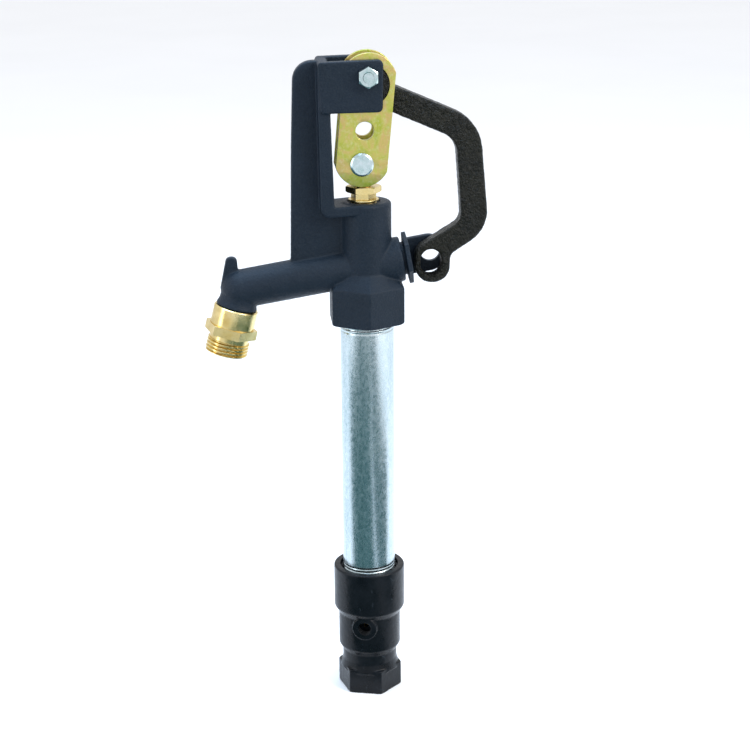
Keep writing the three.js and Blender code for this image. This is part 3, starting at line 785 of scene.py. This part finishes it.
def foot_valve():
    barrel = side_profile(
        (0, 14, 0),
        (19.2, 14, 0),
        (17.6, 20, 1.5),
        (17.6, 26.8, 1.5),
        (20, 30.6, 1.5),
        (20, 53.2, 1.5),
        (22.8, 57.6, 1.2),
        (22.8, BODY_TOP, 1.0),
        (0, BODY_TOP, 0),
    )
    hexed = hexagon(INLET_HEX_R, 0, INLET_HEX_TOP, flat_r=20, turn=INLET_TURN + math.radians(30))
    skin = cast(gathered(barrel, hexed, towards_drain(post(8, 12, 21.2, round_off=0.7))), 0.45, 3)
    roughened(skin, 0.08, 3.0, 7)
    socket = side_profile(
        (0, 61.7, 0), (17, 61.7, 0), (17, 82.2, 0), (18.4, 83.2, 0), (18.9, 87, 0), (0, 87, 0))
    return carved(
        skin,
        socket,
        thread(12.2, 1.1, 1.81, -2, 14.5),
        post(9.6, 13, 20),
        post(11.25, 19, 63),
        towards_drain(thread(4.9, 0.7, 0.94, 14.4, 22.5)),
        towards_drain(post(2, 9, 15, 32)),
    )


piece(foot_valve(), "foot_valve_body", VALVE_COAT, "valve_body", 30)

# ------------------------------------------------------------------ standpipe


def standpipe():
    """Taper threads at both ends run out on the bare pipe just beyond the castings."""
    def profile_at(t):
        points = [(PIPE_BORE_R, 62), (PIPE_R - 1.6, 62)]
        for low, high, near in ((62.4, 89.5, 89.5), (243.5, 266.6, 243.5)):
            steps = math.ceil((high - low) / PIPE_THREAD_PITCH * 12)
            for k in range(steps + 1):
                z = low + (high - low) * k / steps
                groove = thread_groove(z, t, PIPE_THREAD_PITCH, 0.25, 0.5)
                fade = min(1, abs(z - near) / (2.5 * PIPE_THREAD_PITCH))
                points.append((PIPE_R - 0.02 - 0.75 * groove * fade - 0.15 * fade, z))
        points += [(PIPE_R - 1.6, 267), (PIPE_BORE_R, 267)]
        return points

    return around(profile_at, 128)


piece(standpipe(), "standpipe_tube", PIPE_ZINC, "standpipe", 30)

# ------------------------------------------------------------------ brass hose adapter


def hose_adapter():
    barrel = side_profile(
        (10.8, 0.2, 0), (13.1, 0, 0.25), (13.75, 0.7, 0.3), (13.75, 13, 0), (10.8, 13, 0))
    neck = side_profile((9, 12, 0), (12.2, 12, 0), (12.2, 21.5, 0), (9, 21.5, 0))
    hexed = hexagon(16.4, 11.9, 17.7, bore=9.5, flat_r=16.1, turn=math.radians(-18))

    def threaded(t):
        points = [(9, 20.4), (11.6, 20.4), (12.0, 20.9)]
        steps = 96
        for k in range(steps + 1):
            z = 21 + 8.4 * k / steps
            groove = thread_groove(z, t, HOSE_THREAD_PITCH, 0.3, 0.55)
            fade = min(1, (z - 20.6) / 0.8)
            points.append((HOSE_THREAD_R - 1.35 * groove * fade - (1 - fade), z))
        return [*points, (12.2, 29.95), (9.6, 29.95), (9.0, 29.4)]

    return on_outlet(gathered(barrel, neck, hexed, around(threaded, 128)))


piece(hose_adapter(), "hose_adapter_brass", BRASS, "hose_adapter", 30)

# ------------------------------------------------------------------ packing nut


def packing_nut():
    hexed = hexagon(11.0, 330.6, 334.4, bore=5, flat_r=10.2, turn=math.radians(30))
    neck = hexagon(
        7.8, 326.3, 331.2, bore=5, low_bevel=False, high_bevel=False, turn=math.radians(18))
    flange = side_profile((5, 325.45, 0), (9.25, 325.45, 0.2), (9.25, 326.5, 0.3), (5, 326.5, 0))
    skirt = thread(8.0, 0.5, 1.4, 317.2, 325.6, inner=5)
    return on_stem(gathered(hexed, neck, flange, skirt))


piece(packing_nut(), "packing_gland_nut", BRASS, "packing_nut", 30)

# ------------------------------------------------------------------ links, pin, washer, cotter


def link(front, back):
    half = 15.6
    end_r = 16.8
    spread = math.asin(half / end_r)
    arcs = []
    ends = ((LINK_CENTRES + 18.8 - end_r, math.pi / 2), (end_r - 13.7, -math.pi / 2))
    for centre, middle in ends:
        for k in range(33):
            a = middle - spread + 2 * spread * k / 32
            arcs.append((end_r * math.cos(a), centre + end_r * math.sin(a)))
    holes = [
        circle(0, LINK_CENTRES, 12.4, 96),
        circle(0, 20.2, 5.55),
        circle(0, 0, PIN_R + 0.15),
    ]
    return plate(arcs, front, back, holes=holes, edge=0.28, resolution=3)


def on_link(obj):
    return aimed(obj, LINK_PIN.x, LINK_PIN.y, LINK_LEAN)


piece(on_link(link(-LINK_OUTER, -LINK_INNER)), "link_front", YELLOW_ZINC, "front_link", 30)
piece(on_link(link(LINK_INNER, LINK_OUTER)), "link_rear", YELLOW_ZINC, "rear_link", 30)


def link_pin():
    head = LINK_OUTER + 0.15
    pin = side_profile(
        (0, -14.8, 0),
        (PIN_R - 0.8, -14.8, 0),
        (PIN_R, -14, 0),
        (PIN_R, head, 0),
        (7.1, head, 0.1),
        (7.1, head + 1.2, 0.3),
        (5.9, head + 2.1, 0.3),
        (0, head + 1.95, 0),
    )
    hole = moved(post(1.55, -10, 10, 24), Matrix.Translation((0, 12.6, 0)))
    return on_link(carved(towards_front(pin, 0, 0), hole))


def pin_washer():
    bore = PIN_R + 0.2
    ring = side_profile((bore, 0, 0.1), (8.4, 0, 0.3), (8.4, 1.4, 0.5), (bore, 1.4, 0.1))
    return on_link(towards_front(ring, 0, 0, LINK_OUTER + 1.5))


def tube(points, radius):
    """A round wire along points, with closed ends."""
    curve = bpy.data.curves.new("wire", "CURVE")
    curve.dimensions = "3D"
    curve.bevel_depth = radius
    curve.bevel_resolution = 4
    curve.use_fill_caps = True
    spline = curve.splines.new("POLY")
    spline.points.add(len(points) - 1)
    for point, co in zip(spline.points, points):
        point.co = (*co, 1)
    return curve_to_mesh("wire", curve)


def pin_cotter():
    """A split pin: an eye of half-round wire over two legs that spread below the pin."""
    legs = []
    for side in (-1, 1):
        route = [(side * 0.6, 0, 6.6), (side * 0.6, 0, -5.4)]
        route += [(side * (0.6 + 0.9 * (k / 6) ** 1.5), 0, -5.4 - 3.0 * k / 6) for k in range(1, 7)]
        legs.append(tube(route, 0.62))
    turns = [math.radians(250 - 320 * k / 40) for k in range(41)]
    eye = tube([(2.35 * math.cos(a), 0, 8.45 + 2.35 * math.sin(a)) for a in turns], 0.8)
    body = gathered(*legs, eye)
    return on_link(moved(body, Matrix.Translation((0, 12.6, 0))))


piece(link_pin(), "link_clevis_pin", BRIGHT_ZINC, "link_pin", 25)
piece(pin_washer(), "clevis_washer", BRIGHT_ZINC, "pin_washer", 30)
piece(pin_cotter(), "clevis_split_pin", BRIGHT_ZINC, "pin_cotter", 40)

# ------------------------------------------------------------------ pivot bolt and nut

NUT_CORNER_R = 11.1 / math.sqrt(3)


def pivot_nut():
    nut = hexagon(NUT_CORNER_R, 0.1, 5.55, bore=BOLT_R + 0.2, flat_r=5.2)
    return towards_front(nut, PIVOT.x, PIVOT.y, -EAR_OUTER)


def pivot_bolt():
    length = EAR_OUTER * 2 + 5.6 + 1.2
    shank = thread(BOLT_R, 0.35, 1.27, EAR_OUTER * 2 - 9, length)
    plain = post(BOLT_R, -1, EAR_OUTER * 2 - 8.5)
    head = hexagon(NUT_CORNER_R, -4.25, -0.1, flat_r=5.2, high_bevel=False)
    return towards_front(gathered(shank, plain, head), PIVOT.x, PIVOT.y, EAR_OUTER)


piece(pivot_nut(), "pivot_hex_nut", BRIGHT_ZINC, "pivot_nut", 25)
piece(pivot_bolt(), "pivot_hex_bolt", BRIGHT_ZINC, "pivot_bolt", 25)

# ------------------------------------------------------------------ stem

EYE_HALF = 5.9


def valve_stem():
    pin_x = LINK_PIN.x - STEM_X
    block = rounded([(-9.8, 338.4, 4), (12.2, 338.4, 4), (12.2, 359, 6), (-9.8, 359, 6)])
    slot = rounded([
        (pin_x - PIN_R - 0.7, LINK_PIN.y - PIN_R - 1.4, 5),
        (pin_x + PIN_R + 5.4, LINK_PIN.y - PIN_R - 1.4, 5),
        (pin_x + PIN_R + 5.4, LINK_PIN.y + PIN_R + 0.8, 5),
        (pin_x - PIN_R - 0.7, LINK_PIN.y + PIN_R + 0.8, 5),
    ])
    eye = plate(block, -EYE_HALF, EYE_HALF, holes=[slot], edge=0.9, resolution=3)
    return on_stem(joined(eye, post(STEM_R, 219, 340)))


piece(valve_stem(), "stem_with_eye", BRASS, "valve_stem", 30)

# ------------------------------------------------------------------ inner pieces, with CAD shapes

INNER_FINISHES = {
    "valve_seat": BRASS,
    "packing_washer": BRASS,
    "packing_ring": GRAPHITE,
    "rod_coupling": ROD_ZINC,
    "operating_rod": ROD_ZINC,
    "rod_jam_nut": BRIGHT_ZINC,
    "plunger_body": BRASS,
    "plunger_seal": RUBBER,
    "seal_screw": BRASS,
    "lower_o_ring": RUBBER,
    "upper_o_ring": RUBBER,
}
for node, material in INNER_FINISHES.items():
    frame["nodes"][node].material_slots[0].material = material

# ------------------------------------------------------------------ stage, light and camera


def plain_material(name, colour, roughness):
    m = Nodes(name)
    m.set(Specular_IOR_Level=0.2)
    tint = m.ramp(m.noise(0.4, 2.0), (0.3, colour), (0.7, tuple(0.98 * c for c in colour)))
    return m.done(tint, roughness)


def floor():
    bm = bmesh.new()
    bmesh.ops.create_grid(bm, x_segments=4, y_segments=4, size=30)
    obj = from_bmesh("studio_floor", bm)
    obj.data.materials.append(plain_material("studio_floor", (0.92, 0.92, 0.93), 0.9))


def area_light(name, place, target, size, power, colour=(1, 1, 1)):
    data = bpy.data.lights.new(name, "AREA")
    data.shape = "RECTANGLE"
    data.size, data.size_y = size
    data.energy = power
    data.color = colour
    light = bpy.data.objects.new(name, data)
    bpy.context.scene.collection.objects.link(light)
    light.location = place
    light.rotation_euler = (Vector(target) - Vector(place)).to_track_quat("-Z", "Y").to_euler()


def flag(name, low, high, shade):
    """A dark card lying low in front, seen only in glossy reflections. It draws the dark middle
    of a bright cylinder."""
    corners = [low, (high[0], low[1]), high, (low[0], high[1])]
    bm = bmesh.new()
    bm.faces.new([bm.verts.new((x, y, 0.002)) for x, y in corners])
    obj = from_bmesh(name, bm)
    obj.data.materials.append(plain_material(name, shade, 0.9))
    obj.visible_camera = False
    obj.visible_shadow = False
    obj.visible_diffuse = False


def studio():
    world = bpy.data.worlds.new("studio")
    bpy.context.scene.world = world
    world.use_nodes = True
    background = world.node_tree.nodes["Background"]
    background.inputs["Color"].default_value = (0.96, 0.975, 1.0, 1)
    background.inputs["Strength"].default_value = 1.02
    middle = (0, 0, 0.22)
    area_light("key", (1.1, -0.9, 1.2), middle, (0.7, 0.9), 20, (1.0, 0.97, 0.92))
    area_light("top", (-0.1, 0.1, 1.6), middle, (1.2, 1.0), 24, (0.5, 0.72, 1.0))
    area_light("left", (-1.4, -0.5, 0.6), middle, (0.4, 1.2), 5, (0.9, 0.95, 1.0))
    flag("flag_left", (-0.75, -1.1), (0.075, -0.035), (0.05, 0.11, 0.11))
    flag("flag_right", (0.10, -1.1), (0.5, -0.035), (0.04, 0.09, 0.09))
    bpy.context.scene.view_settings.view_transform = "Standard"


def camera():
    azimuth, elevation, roll = math.radians(-5.03), math.radians(17.814), math.radians(-0.426)
    distance = 1.084207
    target = Vector((0.004754, 0, 0.213408))
    back = Vector((
        math.sin(azimuth) * math.cos(elevation),
        -math.cos(azimuth) * math.cos(elevation),
        math.sin(elevation),
    ))
    data = bpy.data.cameras.new("camera")
    data.sensor_width = 36
    data.lens = 82.89
    obj = bpy.data.objects.new("camera", data)
    bpy.context.scene.collection.objects.link(obj)
    obj.location = target + back * distance
    obj.rotation_mode = "QUATERNION"
    facing = (-back).to_track_quat("-Z", "Y")
    obj.rotation_quaternion = facing @ Matrix.Rotation(roll, 4, "Z").to_quaternion()
    bpy.context.scene.camera = obj


floor()
studio()
camera()
